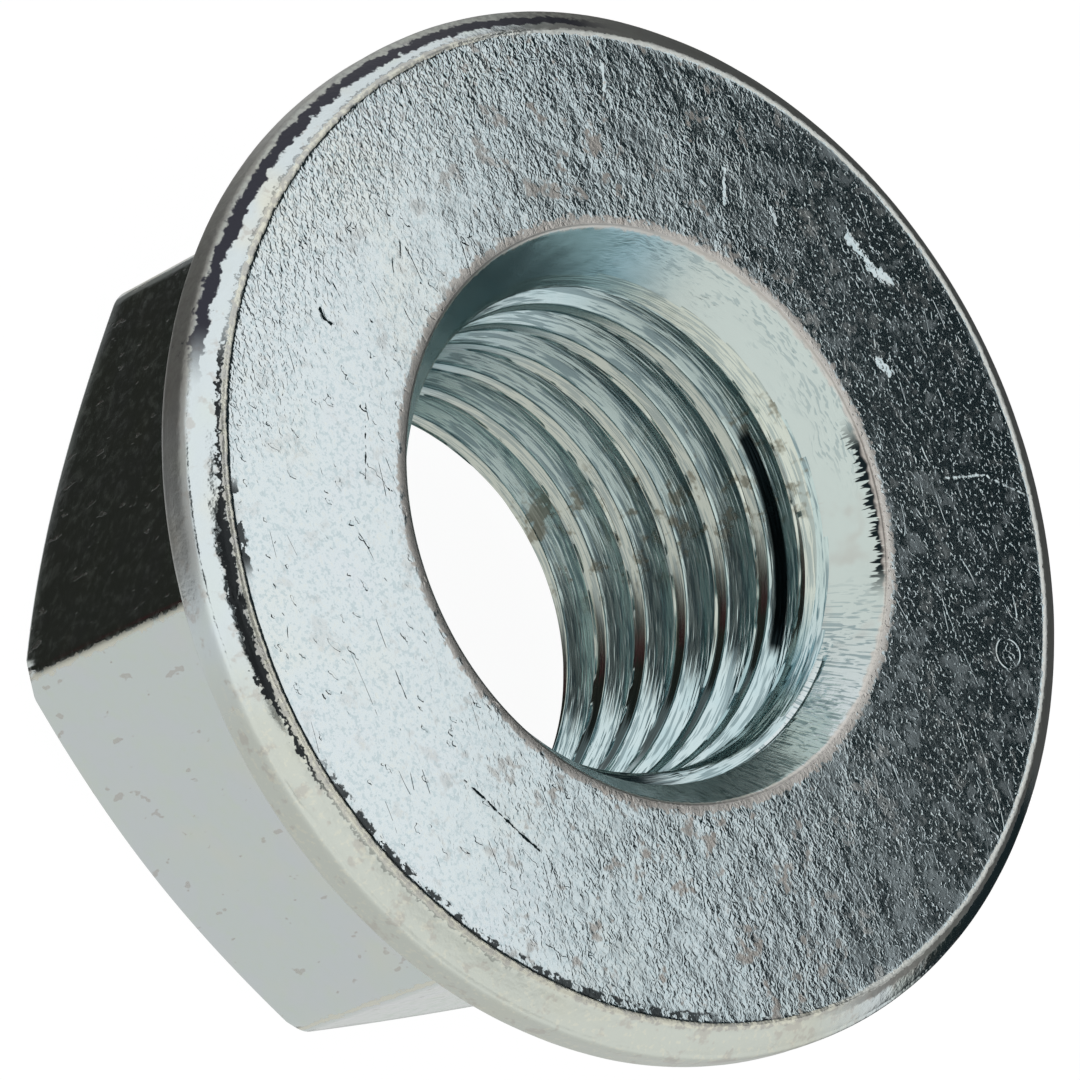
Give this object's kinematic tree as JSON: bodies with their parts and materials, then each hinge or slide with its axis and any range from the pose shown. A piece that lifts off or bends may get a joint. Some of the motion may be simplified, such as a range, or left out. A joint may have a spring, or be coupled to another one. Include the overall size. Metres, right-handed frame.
{
  "type": "hex flange nut",
  "caption": "Hexagon nut with a plain round flange on its bearing side and a right-hand metric fine thread right through.",
  "frame": {"origin": "centre of the hexagon's end face, on the thread's axis", "axes": "+Z along the thread's axis from the hexagon's end to the flange's bearing face; +X through a corner of the hexagon"},
  "size_m": [0.023, 0.023, 0.011],
  "materials": {
    "zinc_plate": "clear passivated zinc plate over forged steel, finely streaked and scratched, with faint tan and green stains"
  },
  "bodies": {
    "root": {"flange_nut": "zinc_plate"}
  },
  "joints": []
}
